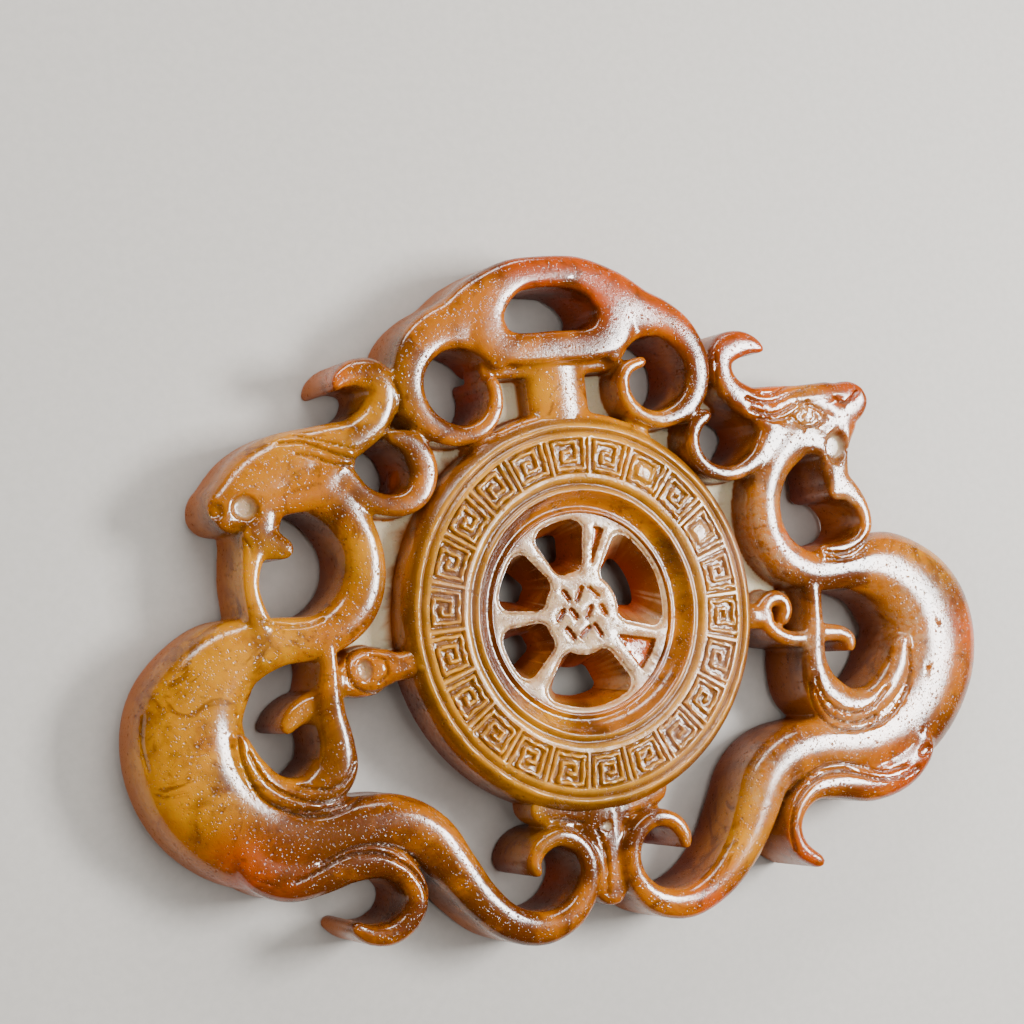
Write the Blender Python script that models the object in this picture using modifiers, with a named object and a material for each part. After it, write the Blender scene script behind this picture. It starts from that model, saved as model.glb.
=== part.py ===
# Openwork jade plaque: two dragons and a cloud arch around a fret disc.
# Metres, +Z up. The plaque lies on its flat back, its carved front faces up,
# and the origin is the middle of its box on the surface that it lies on.
import math

import bmesh
import bpy
from mathutils import Matrix, Vector

for item in list(bpy.data.objects):
    bpy.data.objects.remove(item, do_unlink=True)

# The dragons and clouds are one free form. Their strokes are drawn on a grid that is
# GRID_LENGTH units long from side to side, and PLAQUE_LENGTH is its real length.
PLAQUE_LENGTH = 0.116
GRID_LENGTH = 116.0
UNIT = PLAQUE_LENGTH / GRID_LENGTH

# Heights are measured from the surface that the plaque lies on.
PLAQUE_THICKNESS = 0.0105
DISC_THICKNESS = 0.0070
HEAD_BACK_RELIEF = 0.0008
WEB_THICKNESS = 0.0023
LIMB_CROWN = 0.0048
FLAT_CROWN = 0.0017
PLATE_CROWN = 0.0008
LIMB_BACK_EDGE = 0.0026
CROWN_STEP = 0.00003
GRIND = 0.0002

# How far parts of the front lie below its highest crowns.
WEB_DEPTH = 0.0047
LEG_DROP = 0.0002
ARCH_DROP = 0.0003
HOOK_DROP = 0.0005
DEEP_HOOK_DROP = 0.0012
ROOT_DEPTH = 0.0006
BLOCK_DEPTH = 0.0008
CAP_LEDGE_DEPTH = 0.0016
DISC_LEDGE_DEPTH = 0.0010
BOTTOM_WEB_DEPTH = 0.0014
SPIRAL_WEB_DEPTH = 0.0010

# Limb sections: the crown's height as a share of the half width, its limit, and its squareness.
ROUND = (0.8, LIMB_CROWN, 0.85)
FLAT = (0.6, FLAT_CROWN, 0.65)
PLATE = (0.35, PLATE_CROWN, 0.6)

# The fret disc, from its centre outwards.
PANEL_RADIUS = 0.0121
PANEL_RECESS = 0.0018
PANEL_THICKNESS = 0.0046
PANEL_BACK_SLOPE = 0.0010
RIM_BEVEL = 0.0002
RIM_DROP = 0.0014
SLOPE_WIDTH = 0.0024
SLOPE_DIP = 0.0003
RING_WIDTH = 0.0019
RING_GROOVE = 0.0005
FRET_WIDTH = 0.0044
EDGE_RING_WIDTH = 0.0012
MARGIN_WIDTH = 0.0013
MARGIN_DROP = 0.0012
DISC_EDGE = 0.0008
WALL_SLOPE_WIDTH = 0.0003
WALL_SLOPE_DROP = 0.0010

# The openings of the centre panel: bent slots around a plain boss.
BOSS_RADIUS = 0.0049
RIM_WIDTH = 0.00065
SLOT_CORNER = 0.0015
SLOT_FLOOR = 0.0020
SLOT_BACK_SHARE = 0.3
SLOTS = ((-17, 59), (81, 121), (131, 173), (184, 223), (234, 305))

# Stroke sampling and the faceted surface's own sizes.
STATION_STEP = 0.0011
CROWN_POINTS = 9
DISC_SEGMENTS = 64
VOXEL = 0.00042
FORM_TRIANGLES = 6000


def make_collection(name):
    collection = bpy.data.collections.new(name)
    bpy.context.scene.collection.children.link(collection)
    return collection


carving = make_collection("jade_carving")
cutters = make_collection("jade_carving_cutters")


def make_object(name, mesh, collection):
    made = bpy.data.objects.new(name, mesh)
    collection.objects.link(made)
    return made


def mirrored(stroke):
    return [(-x, y, w) for x, y, w in stroke]


def spline(points, position):
    """The smooth curve through the points, at a position counted in points."""
    last = len(points) - 1
    i = min(int(position), last - 1)
    t = position - i
    p0, p1, p2, p3 = (points[min(max(i + k, 0), last)] for k in (-1, 0, 1, 2))
    return tuple(0.5 * (2 * b + (c - a) * t + (2 * a - 5 * b + 4 * c - d) * t * t
                        + (3 * b - a - 3 * c + d) * t ** 3)
                 for a, b, c, d in zip(p0, p1, p2, p3))


def stations(stroke):
    """Even stations along a stroke, in metres, with a half-round station set at each end."""
    points = [(x * UNIT, y * UNIT, w * UNIT) for x, y, w in stroke]
    fine = [spline(points, k / 8) for k in range(8 * (len(points) - 1) + 1)]
    lengths = [0.0]
    for a, b in zip(fine, fine[1:]):
        lengths.append(lengths[-1] + math.hypot(b[0] - a[0], b[1] - a[1]))
    count = max(2, round(lengths[-1] / STATION_STEP))
    along = []
    k = 0
    for n in range(count + 1):
        target = lengths[-1] * n / count
        while k < len(fine) - 2 and lengths[k + 1] < target:
            k += 1
        t = (target - lengths[k]) / (lengths[k + 1] - lengths[k])
        along.append(tuple(a + (b - a) * t for a, b in zip(fine[k], fine[k + 1])))
    placed = []
    for n, (x, y, w) in enumerate(along):
        ax, ay, _ = along[max(n - 1, 0)]
        bx, by, _ = along[min(n + 1, count)]
        size = math.hypot(bx - ax, by - ay)
        placed.append((x, y, w, (bx - ax) / size, (by - ay) / size))
    ends = []
    for (x, y, w, dx, dy), side in ((placed[0], -1), (placed[-1], 1)):
        caps = []
        for reach in (0.45, 0.8, 0.97):
            caps.append((x + side * reach * w * dx, y + side * reach * w * dy,
                         w * math.sqrt(1 - reach * reach), dx, dy))
        ends.append(caps)
    return ends[0][::-1] + placed + ends[1]


def limb(name, stroke, top, bottom, section):
    """A carved limb: a domed front and a flat back carried along a stroke."""
    share, most, power = section
    bm = bmesh.new()
    rings = []
    for x, y, w, dx, dy in stations(stroke):
        crown = min(share * w, most, 0.6 * (top - bottom))
        edge = min(0.5 * w, LIMB_BACK_EDGE, 0.35 * (top - bottom))
        profile = []
        for k in range(CROWN_POINTS):
            angle = math.pi * k / (CROWN_POINTS - 1)
            c = math.cos(angle)
            across = w * math.copysign(abs(c) ** power, c)
            profile.append((across, top - crown + crown * abs(math.sin(angle)) ** power))
        profile += [(-w, bottom + edge), (0.3 * edge - w, bottom + 0.3 * edge), (edge - w, bottom),
                    (w - edge, bottom), (w - 0.3 * edge, bottom + 0.3 * edge), (w, bottom + edge)]
        rings.append([bm.verts.new((x - dy * a, y + dx * a, z)) for a, z in profile])
    for first, second in zip(rings, rings[1:]):
        for k in range(len(first)):
            j = (k + 1) % len(first)
            bm.faces.new((first[k], first[j], second[j], second[k]))
    bm.faces.new(rings[0][::-1])
    bm.faces.new(rings[-1])
    bmesh.ops.recalc_face_normals(bm, faces=bm.faces)
    mesh = bpy.data.meshes.new(name)
    bm.to_mesh(mesh)
    bm.free()
    return make_object(name, mesh, cutters)


def join(target, others):
    """One object that holds the meshes of several."""
    bm = bmesh.new()
    for part in [target] + others:
        piece = part.data.copy()
        piece.transform(part.matrix_world)
        bm.from_mesh(piece)
        bpy.data.meshes.remove(piece)
    bm.to_mesh(target.data)
    bm.free()
    target.matrix_world = Matrix()
    for part in others:
        bpy.data.objects.remove(part, do_unlink=True)


def bake(target):
    """Applies an object's modifiers to its mesh."""
    graph = bpy.context.evaluated_depsgraph_get()
    mesh = bpy.data.meshes.new_from_object(target.evaluated_get(graph))
    target.modifiers.clear()
    target.data = mesh


# Strokes as (x, y, half width) in grid units from the disc's centre. Most are drawn for each
# side, because the two sides were carved by hand and differ. The rest are drawn on the right
# and mirrored.
neck = [
    (33, 18.5, 3.2), (29.8, 15.7, 2.8), (27.7, 11.4, 2.45), (27.7, 7, 2.6), (29.8, 3.4, 2.7),
    (34, 1.3, 2.5)]
rightFlank = [
    (40, 1.4, 3.2), (46.3, 0.2, 5.3), (51.2, -4.4, 7), (52, -10.2, 7.5), (49.2, -16, 7.2),
    (44, -20, 6.4), (38, -21.2, 4.6)]
leftFlank = [
    (-39.6, 1.2, 2.9), (-45, -0.2, 4.6), (-49.2, -5, 6.2), (-49.9, -10.5, 6.7), (-47.8, -16, 6.6),
    (-43.3, -20, 6), (-38, -21.2, 4.6)]
rightBody = [
    (32, -20.9, 3.8), (27, -21.2, 3.5), (23.4, -23.4, 3.3), (21, -27.2, 3), (18.3, -31.1, 2.6),
    (14.4, -34.6, 2.2), (9.6, -36.4, 1.95), (5.2, -35.5, 1.7), (2.6, -32.8, 1.45), (2, -29.8, 1.25),
    (3.2, -27, 1.15), (5.8, -25.6, 1.1), (8.4, -26.4, 1), (9.6, -28.2, 0.9), (9.6, -29.2, 0.7)]
leftBody = [
    (-32, -20.9, 3.8), (-27, -21.2, 3.5), (-23.2, -23.6, 3.3), (-20.6, -27.4, 2.8), (-18.1, -31.2, 2.4),
    (-14.8, -34.5, 2.1), (-10.6, -36, 1.95), (-6.7, -35, 1.7), (-4.3, -32.4, 1.45), (-3.7, -29.6, 1.3),
    (-4.8, -27, 1.15), (-7.3, -25.7, 1.1), (-9.8, -26.4, 1.05), (-11.1, -28, 0.95), (-11, -29.1, 0.75)]
rightFoot = [
    (46, -20.5, 2), (46.6, -22.8, 2.6), (43.6, -25.2, 2.8), (38.8, -26.4, 2.4), (33.6, -25.8, 1.9),
    (29.6, -25.7, 1.6), (26.8, -27.3, 1.4), (25.5, -30, 1.25), (26.2, -32.7, 1.15), (28.4, -34.6, 0.9)]
leftFoot = [
    (-46, -20.5, 2), (-44.4, -23.2, 2.4), (-41, -24.9, 2.6), (-37, -24.8, 2.5), (-33.3, -24.4, 2.2),
    (-29.6, -24.9, 1.9), (-27.2, -26.7, 1.6), (-26.2, -29.2, 1.4), (-27.3, -31.7, 1.3),
    (-29.8, -33, 1.25), (-32.4, -32.7, 1.1), (-34, -31.7, 0.85)]
rightLeg = [
    (33.2, 0.8, 1.6), (33, -2.5, 1.15), (32.8, -5.2, 1.3), (32.4, -7.6, 1.5), (32.2, -10.6, 2),
    (33.4, -14.1, 2.8), (37.2, -16.7, 2.6), (41.4, -15.8, 2.3), (44.5, -13, 2.1), (45.8, -9.8, 1.5)]
leftLeg = [
    (-33.7, 0.8, 1.3), (-33.6, -2.5, 1.05), (-33.9, -5.4, 1.5), (-33.9, -8.2, 1.9), (-33.5, -11, 2.1),
    (-34.1, -14.1, 2.7), (-37.6, -16.4, 2.5), (-41.4, -15.5, 2.2), (-44, -12.7, 2), (-45.2, -9.6, 1.4)]
rightLegHook = [
    (32.9, -6.4, 1.2), (34.8, -6.6, 1.1), (36.8, -7, 1), (37.9, -7.9, 0.9), (37.8, -8.7, 0.7)]
leftLegHook = [(-34, -6.6, 2), (-36, -6.6, 1.7), (-37.8, -7.2, 1.3), (-39, -8.2, 0.9)]
rightScroll = [
    (32.6, -6.2, 1.05), (30.8, -6.9, 1), (28.6, -6.6, 1), (26.6, -5.5, 1.05), (25.5, -3.8, 1.1),
    (25.6, -2.2, 1.1), (27, -1.3, 1), (28.4, -1.8, 0.95), (28.8, -3.1, 0.9), (28.3, -4, 0.8)]
leftScroll = [
    (-32.4, -4.2, 1.5), (-30.8, -3.9, 2.4), (-29.2, -3.5, 2.8), (-27.7, -3.3, 2.8), (-26.6, -3.2, 2.2)]
scrollRoot = [(20, -2.8, 1.7), (25, -3.4, 1.6)]
rightHorn = [
    (29, 18.4, 1.8), (27.3, 16.6, 1.3), (24.8, 15.2, 1), (22.2, 14.8, 0.95), (19.8, 15.5, 0.95),
    (18.1, 17.2, 0.95), (17.7, 19.3, 0.95), (18.5, 21.2, 0.95), (20, 22.2, 0.85)]
leftHorn = [
    (-29, 18.4, 1.8), (-27.2, 16.5, 1.4), (-24.7, 15.3, 1.25), (-22.1, 15.1, 1.35), (-20, 16.2, 1.55),
    (-19, 18.3, 1.75), (-19.3, 20.5, 1.8), (-20.6, 22.2, 1.4), (-22.4, 22.9, 0.9)]
nape = [(29.6, 20.8, 2.3), (31.5, 19, 3)]
rightHook = [
    (28.5, 22.6, 2.2), (24.6, 25, 1.8), (23.3, 27.9, 1.6), (24.2, 30.2, 2), (26.6, 30.9, 1.7),
    (28.4, 30.6, 1.1), (29.3, 30.1, 0.6)]
leftHook = [
    (-28.5, 22.6, 2.2), (-24.4, 25, 2), (-22.9, 28, 2), (-23.8, 30.2, 2), (-26.2, 30.7, 1.6),
    (-28, 30.1, 1.15), (-28.8, 29.4, 0.7)]
rightCloud = [
    (0, 41.3, 1.9), (4.6, 40.8, 2.1), (9, 38.4, 2.8), (12.2, 36, 3), (15.4, 34.9, 2.4), (18, 33, 2.1),
    (19.6, 30.2, 1.8), (19.8, 27.2, 1.7), (18.6, 24.6, 1.55), (16.2, 22.9, 1.3), (13.2, 22.3, 1.05),
    (10.6, 23.3, 0.95), (9.1, 25.2, 0.9), (8.9, 27.4, 0.85), (9.8, 28.9, 0.8), (11.8, 29.5, 0.65)]
leftCloud = [
    (0, 41.3, 1.9), (-4.6, 40.8, 2.1), (-9, 38.4, 2.8), (-12.2, 36, 3), (-15.4, 34.9, 2.6),
    (-18, 33, 2.4), (-19.5, 30.2, 2.1), (-19.6, 27.2, 2), (-18.2, 24.6, 1.7), (-15.8, 22.9, 1.4),
    (-12.8, 22.4, 1.1), (-10.3, 23.4, 1), (-8.9, 25.3, 0.95), (-8.6, 27.3, 0.85), (-9, 28.4, 0.75)]
capRing = [
    (0, 41.4, 1.5), (-3.6, 41, 1.7), (-7, 39.2, 2.3), (-8.7, 36.4, 2.5), (-8.2, 33.7, 2.6),
    (-5.5, 32.2, 1.95), (0, 32.1, 1.9), (5.5, 32.2, 1.95), (8.4, 33.7, 2.7), (9, 36.4, 2.5),
    (7.2, 39.3, 2.3), (3.8, 41, 1.6), (0, 41.4, 1.5)]
curlArches = [
    [(14.8, 34.2, 1.5), (12, 34.1, 1.6), (9.7, 32.9, 1.6), (8.3, 31.2, 1.5)],
    [(-14.2, 34.2, 1.5), (-11.4, 34.1, 1.6), (-9, 32.9, 1.6), (-7.7, 31.2, 1.4)]]
rightHead = [
    [(27, 23.3, 2), (31, 22.8, 2.5), (35.5, 21.9, 3.3), (39.6, 21.7, 3.6), (42, 22.3, 2.9)],
    [(40, 20, 3.2), (39, 16.6, 2.3), (38.8, 13, 1.9)],
    [(32, 18.8, 2.4), (35.6, 18.2, 2), (38.4, 17, 1.8)],
    [(39, 12.2, 1.9), (41, 10.3, 1.3), (42.1, 8.3, 0.95), (42.2, 6.3, 0.9), (40.9, 4.6, 0.9),
     (38.4, 3.8, 0.95), (35.4, 3.6, 1)],
    [(39.8, 11.4, 1.5), (38.3, 11.3, 1.3)]]
leftHead = [
    [(-28, 23.3, 2), (-31, 22.8, 2.3), (-35.6, 21, 3.7), (-39.4, 18.9, 4), (-42.6, 16.8, 3.1)],
    [(-39.4, 17, 3.2), (-40, 13.6, 2.4), (-41.2, 10.8, 1.4), (-41.8, 8.2, 1.05), (-41.7, 6, 1.1),
     (-41.2, 3.4, 1.5)],
    [(-40, 13, 2.3), (-38.8, 12.2, 1.9), (-37.6, 11.6, 1.3)],
    [(-40, 16.8, 2.4), (-36.8, 17.1, 1.9), (-33.4, 17.5, 2.1)]]

# Webs and ledges lie below the front and hold the dragons and clouds to the disc. Their inner
# ends stay under the fret band, so that the disc covers them, and above the disc's back.
sideWebs = [
    [(19, 12, 3), (26, 8, 4)],
    [(20, 13.4, 2.6), (26, 13.4, 2.6)],
    [(18.6, 1, 2.5), (28, 1.6, 3)],
    [(27, -3.4, 2.2), (31, -3, 2.2)],
    [(14.5, 17, 2.6), (17.4, 21.4, 2.4)],
    [(9.6, 20, 2.6), (14, 20, 2.4)],
    [(16.6, 15, 2.2), (19.4, 17.6, 2.2)],
    [(19.6, 24, 1.8), (22.8, 24.2, 1.8)],
    [(21, 4.6, 2), (26, 4.6, 2)]]
topWeb = [(-3.8, 25.4, 5.6), (3.8, 25.4, 5.6)]
capLedge = [(-8.6, 29.9, 1.1), (8.8, 29.9, 1.1)]
discLedge = [(10.5, 19.8, 2), (5.4, 21.7, 2), (0, 22.4, 2), (-5.4, 21.7, 2), (-10.5, 19.8, 2)]
bottomWeb = [(-8, -22.2, 2.2), (-2, -23.6, 2.6), (4, -23.2, 2.4), (6.6, -22.4, 2)]
spiralWeb = [(-0.8, -24.4, 3), (-0.8, -28, 2.6), (-0.8, -32.6, 2.4)]
topBlock = [(0.55, 20, 4.1), (0.55, 30, 4.1)]

# Each limb as (stroke, drop of its crown below the front, bottom, section).
limbList = [(neck + rightFlank + rightBody, 0, 0, ROUND), (rightFoot, 0, 0, ROUND),
            (mirrored(neck) + leftFlank + leftBody, 0, 0, ROUND), (leftFoot, 0, 0, ROUND),
            (capRing, 0, 0, PLATE), (rightCloud, 0, 0, FLAT), (leftCloud, 0, 0, FLAT),
            (rightLeg, LEG_DROP, 0, ROUND), (leftLeg, LEG_DROP, 0, ROUND),
            (rightLegHook, HOOK_DROP, 0, ROUND), (leftLegHook, DEEP_HOOK_DROP, 0, ROUND),
            (rightScroll, HOOK_DROP, 0, ROUND), (leftScroll, BLOCK_DEPTH, 0, ROUND),
            (rightHorn, 0, 0, FLAT), (leftHorn, 0, 0, FLAT), (nape, 0, 0, ROUND),
            (mirrored(nape), 0, 0, ROUND), (rightHook, 0, 0, FLAT), (leftHook, 0, 0, ROUND)]
limbList += [(stroke, ARCH_DROP, 0, FLAT) for stroke in curlArches]
limbList += [(stroke, 0, HEAD_BACK_RELIEF, FLAT) for stroke in rightHead]
limbList += [(stroke, 0, HEAD_BACK_RELIEF, ROUND) for stroke in leftHead]
webTop = PLAQUE_THICKNESS - WEB_DEPTH
webLow = webTop - WEB_THICKNESS
for web in [topWeb] + sideWebs + [mirrored(web) for web in sideWebs]:
    limbList.append((web, WEB_DEPTH, webLow, PLATE))
for root in (scrollRoot, mirrored(scrollRoot)):
    limbList.append((root, ROOT_DEPTH, webLow, ROUND))
limbList += [(capLedge, CAP_LEDGE_DEPTH, webLow, FLAT), (discLedge, DISC_LEDGE_DEPTH, webLow, FLAT),
             (bottomWeb, BOTTOM_WEB_DEPTH, webLow, FLAT), (spiralWeb, SPIRAL_WEB_DEPTH, webLow, FLAT),
             (topBlock, BLOCK_DEPTH, webLow, FLAT)]
limbs = []
for number, (stroke, drop, bottom, section) in enumerate(limbList):
    # Neighbours differ by a few hundredths of a millimetre, so that no two crowns coincide.
    top = PLAQUE_THICKNESS - drop - CROWN_STEP * (number % 4)
    limbs.append(limb(f"limb_{number:02d}", stroke, top, bottom, section))

jade = limbs[0]
jade.name = "jade_carving"
join(jade, limbs[1:])
cutters.objects.unlink(jade)
carving.objects.link(jade)
remesh = jade.modifiers.new("one_carved_form", "REMESH")
remesh.mode = "VOXEL"
remesh.voxel_size = VOXEL
bake(jade)
soften = jade.modifiers.new("worn_edges", "SMOOTH")
soften.factor = 0.5
soften.iterations = 2
bake(jade)
reduce = jade.modifiers.new("fewer_faces", "DECIMATE")
reduce.ratio = FORM_TRIANGLES / (2 * len(jade.data.polygons))
bake(jade)
# The back is ground flat, to a hair above the lowest points that the remesh left.
low = min(v.co.z for v in jade.data.vertices)
bpy.ops.mesh.primitive_cube_add(size=1, location=(0, 0, low + GRIND - PLAQUE_THICKNESS))
slab = bpy.context.object
slab.name = "grinding_slab"
slab.scale = (2 * PLAQUE_LENGTH, 2 * PLAQUE_LENGTH, 2 * PLAQUE_THICKNESS)


def hide_cutter(cutter):
    for collection in list(cutter.users_collection):
        collection.objects.unlink(cutter)
    cutters.objects.link(cutter)
    cutter.hide_render = True
    cutter.display_type = "WIRE"


def combine(target, other, operation):
    step = target.modifiers.new(other.name, "BOOLEAN")
    step.operation = operation
    step.solver = "EXACT"
    step.object = other
    bake(target)


hide_cutter(slab)
bpy.context.view_layer.update()
combine(jade, slab, "DIFFERENCE")
jade.data.transform(Matrix.Translation((0, 0, -low - GRIND)))

# The disc is turned: its profile runs out over the front, down the edge and in over the back.
top = PLAQUE_THICKNESS
back = top - DISC_THICKNESS
floor = top - PANEL_RECESS
panelRim = PANEL_RADIUS + RIM_BEVEL
rimTop = top - RIM_DROP
ringStart = panelRim + SLOPE_WIDTH
fretStart = ringStart + RING_WIDTH
fretEnd = fretStart + FRET_WIDTH
edgeEnd = fretEnd + EDGE_RING_WIDTH
marginEnd = edgeEnd + MARGIN_WIDTH
discRadius = marginEnd + WALL_SLOPE_WIDTH
profile = [
    (0, floor), (PANEL_RADIUS, floor), (panelRim, rimTop),
    (panelRim + 0.25 * SLOPE_WIDTH, rimTop - SLOPE_DIP), (panelRim + 0.5 * SLOPE_WIDTH, rimTop),
    (panelRim + 0.75 * SLOPE_WIDTH, top - 0.5 * RIM_DROP),
    (ringStart, top - RIM_BEVEL), (ringStart + 0.35 * RING_WIDTH, top - RING_GROOVE), (fretStart, top),
    (fretEnd, top), (fretEnd + 0.6 * EDGE_RING_WIDTH, top - RING_GROOVE), (edgeEnd, top - RIM_BEVEL),
    (marginEnd, top - MARGIN_DROP), (discRadius, top - MARGIN_DROP - WALL_SLOPE_DROP),
    (discRadius, back + DISC_EDGE), (discRadius - DISC_EDGE, back),
    (PANEL_RADIUS + PANEL_BACK_SLOPE, back), (PANEL_RADIUS, floor - PANEL_THICKNESS),
    (0, floor - PANEL_THICKNESS)]


def turned(name, points, segments):
    mesh = bpy.data.meshes.new(name)
    mesh.from_pydata([(r, 0, z) for r, z in points], [(k, k + 1) for k in range(len(points) - 1)], [])
    made = make_object(name, mesh, cutters)
    screw = made.modifiers.new("turned", "SCREW")
    screw.steps = screw.render_steps = segments
    screw.use_merge_vertices = True
    screw.merge_threshold = 0.00001
    bake(made)
    return made


disc = turned("fret_disc", profile, DISC_SEGMENTS)
hide_cutter(disc)


def bent_slot(name, inner, outer, first, last):
    """A rounded rectangle bent round the disc's centre, narrower at the panel's back."""
    middle = (inner + outer) / 2
    half = (outer - inner) / 2 - SLOT_CORNER
    reach = math.radians(last - first) / 2 * middle - SLOT_CORNER
    flat = []
    for quarter, (u, v) in enumerate(((reach, half), (-reach, half), (-reach, -half), (reach, -half))):
        for k in range(4):
            angle = (quarter + k / 3) * math.pi / 2
            flat.append((u + SLOT_CORNER * math.cos(angle), v + SLOT_CORNER * math.sin(angle)))
        if quarter % 2 == 0:
            v += SLOT_CORNER if v > 0 else -SLOT_CORNER
            flat += [(u - 2 * u * k / 6, v) for k in range(1, 6)]
    bm = bmesh.new()
    rings = []
    for height, share in ((SLOT_FLOOR, SLOT_BACK_SHARE), (PLAQUE_THICKNESS - 0.9 * PANEL_RECESS, 1),
                          (2 * PLAQUE_THICKNESS, 1)):
        ring = []
        for u, v in flat:
            angle = math.radians(first + last) / 2 + share * u / middle
            radius = middle + share * v
            ring.append(bm.verts.new((radius * math.cos(angle), radius * math.sin(angle), height)))
        rings.append(ring)
    for low, high in zip(rings, rings[1:]):
        for k in range(len(low)):
            j = (k + 1) % len(low)
            bm.faces.new((low[k], low[j], high[j], high[k]))
    bm.faces.new(rings[0][::-1])
    bm.faces.new(rings[-1])
    bmesh.ops.recalc_face_normals(bm, faces=bm.faces)
    mesh = bpy.data.meshes.new(name)
    bm.to_mesh(mesh)
    bm.free()
    made = make_object(name, mesh, cutters)
    hide_cutter(made)
    return made


slots = [bent_slot(f"slot_{first:03d}", BOSS_RADIUS, PANEL_RADIUS - RIM_WIDTH, first, last)
         for first, last in SLOTS]
for slot in slots:
    combine(disc, slot, "DIFFERENCE")
combine(jade, disc, "UNION")

# The origin is the middle of the plaque's box, on the surface that it lies on.
xs = [v.co.x for v in jade.data.vertices]
ys = [v.co.y for v in jade.data.vertices]
middle = Vector(((min(xs) + max(xs)) / 2, (min(ys) + max(ys)) / 2, 0))
jade.data.transform(Matrix.Translation(-middle))

material = bpy.data.materials.new("honey_jade")
material.use_nodes = True
surface = material.node_tree.nodes["Principled BSDF"]
surface.inputs["Base Color"].default_value = (0.42, 0.17, 0.035, 1)
surface.inputs["Roughness"].default_value = 0.3
surface.inputs["Metallic"].default_value = 0
jade.data.materials.clear()
jade.data.materials.append(material)
jade.data.shade_smooth()
jade.data.set_sharp_from_angle(angle=math.radians(40))
print("jade_carving", len(jade.data.polygons), "faces, disc centre at", -middle.x, -middle.y)
print("box", max(xs) - min(xs), max(ys) - min(ys), max(v.co.z for v in jade.data.vertices))
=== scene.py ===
import math
import bmesh
import bpy
import numpy as np
from mathutils import Matrix, Vector


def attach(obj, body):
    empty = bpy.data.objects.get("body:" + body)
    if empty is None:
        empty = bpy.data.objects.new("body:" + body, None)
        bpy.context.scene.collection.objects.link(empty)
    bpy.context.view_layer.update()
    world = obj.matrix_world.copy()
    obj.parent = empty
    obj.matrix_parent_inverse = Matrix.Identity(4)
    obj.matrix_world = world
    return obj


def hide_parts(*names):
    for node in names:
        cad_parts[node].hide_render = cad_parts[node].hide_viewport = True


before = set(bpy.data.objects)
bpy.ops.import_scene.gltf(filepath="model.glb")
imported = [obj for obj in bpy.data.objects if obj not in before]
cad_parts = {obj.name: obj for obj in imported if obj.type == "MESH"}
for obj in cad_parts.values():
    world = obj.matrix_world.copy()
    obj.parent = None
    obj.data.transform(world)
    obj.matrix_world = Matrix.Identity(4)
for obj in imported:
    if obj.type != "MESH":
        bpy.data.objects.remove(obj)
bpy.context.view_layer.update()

mm = 0.001

# The camera looks down on the plaque from its left, with the photograph's own perspective.
view = dict(eye=(-0.12528, 0.00257, 0.23230), turn=(-0.0354, 0.4782, 0.1068), lens=74.78)


def turned(rx, ry, rz):
    # rotation about X, then Y, then Z
    return (Matrix.Rotation(rz, 3, "Z") @ Matrix.Rotation(ry, 3, "Y") @ Matrix.Rotation(rx, 3, "X"))


lensData = bpy.data.cameras.new("camera")
lensData.lens = view["lens"]
lensData.sensor_width = 36
lensData.clip_start = 0.01
cameraObject = bpy.data.objects.new("camera", lensData)
bpy.context.scene.collection.objects.link(cameraObject)
pose = turned(*view["turn"]).transposed().to_4x4()
pose.translation = Vector(view["eye"])
cameraObject.matrix_world = pose
bpy.context.scene.camera = cameraObject
print("camera set")

# Sizes of the plaque are in millimetres from the disc's centre, and heights are from the table.
# A section is (crown per half width, highest crown, power); eye is the camera's place over the front.
plaque = dict(centre=(-1.48, -2.43), thick=10.5, round=(0.8, 4.8, 0.85), flat=(0.6, 1.7, 0.65),
              plate=(0.35, 0.8, 0.6), block=(0.6, 1.7, 0.95), backEdge=2.6,
              web=4.7, webThick=2.3, headRelief=0.8, voxel=0.25, softening=12, step=0.45, triangles=192000,
              eye=(-123.8, 5.0), eyeHeight=221.8)
# Strokes are (x, y, half width), right side first. A mirrored copy is the left where the two are alike.
neck = [(33, 18.5, 3.2), (29.8, 15.7, 2.8), (27.7, 11.4, 2.45), (27.7, 7, 2.6), (29.8, 3.4, 2.7),
        (34, 1.3, 2.5)]
rightFlank = [(40, 1.4, 3.2), (46.3, 0.2, 5.3), (51.2, -4.4, 7), (52, -10.2, 7.5), (49.2, -16, 7.2),
              (44, -20, 6.4), (38, -21.2, 4.6)]
leftFlank = [(-39.6, 1.2, 2.9), (-45, -0.2, 4.6), (-49.2, -5, 6.2), (-49.9, -10.5, 6.7), (-47.8, -16, 6.6),
             (-43.3, -20, 6), (-38, -21.2, 4.6)]
rightBody = [(32, -20.9, 3.8), (27, -21.2, 3.5), (23.4, -23.4, 3.3), (21, -27.2, 3), (18.3, -31.1, 2.6),
             (14.4, -34.6, 2.2), (9.6, -36.4, 1.95), (5.2, -35.5, 1.7), (2.6, -32.8, 1.45),
             (2, -29.8, 1.25), (3.2, -27, 1.15), (5.8, -25.6, 1.1), (8.4, -26.4, 1), (9.6, -28.2, 0.9),
             (9.6, -29.2, 0.7)]
leftBody = [(-32, -20.9, 3.8), (-27, -21.2, 3.5), (-23.2, -23.6, 3.3), (-20.6, -27.4, 2.8),
            (-18.1, -31.2, 2.4), (-14.8, -34.5, 2.1), (-10.6, -36, 1.95), (-6.7, -35, 1.7),
            (-4.3, -32.4, 1.45), (-3.7, -29.6, 1.3), (-4.8, -27, 1.15), (-7.3, -25.7, 1.1),
            (-9.8, -26.4, 1.05), (-11.1, -28, 0.95), (-11, -29.1, 0.75)]
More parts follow.
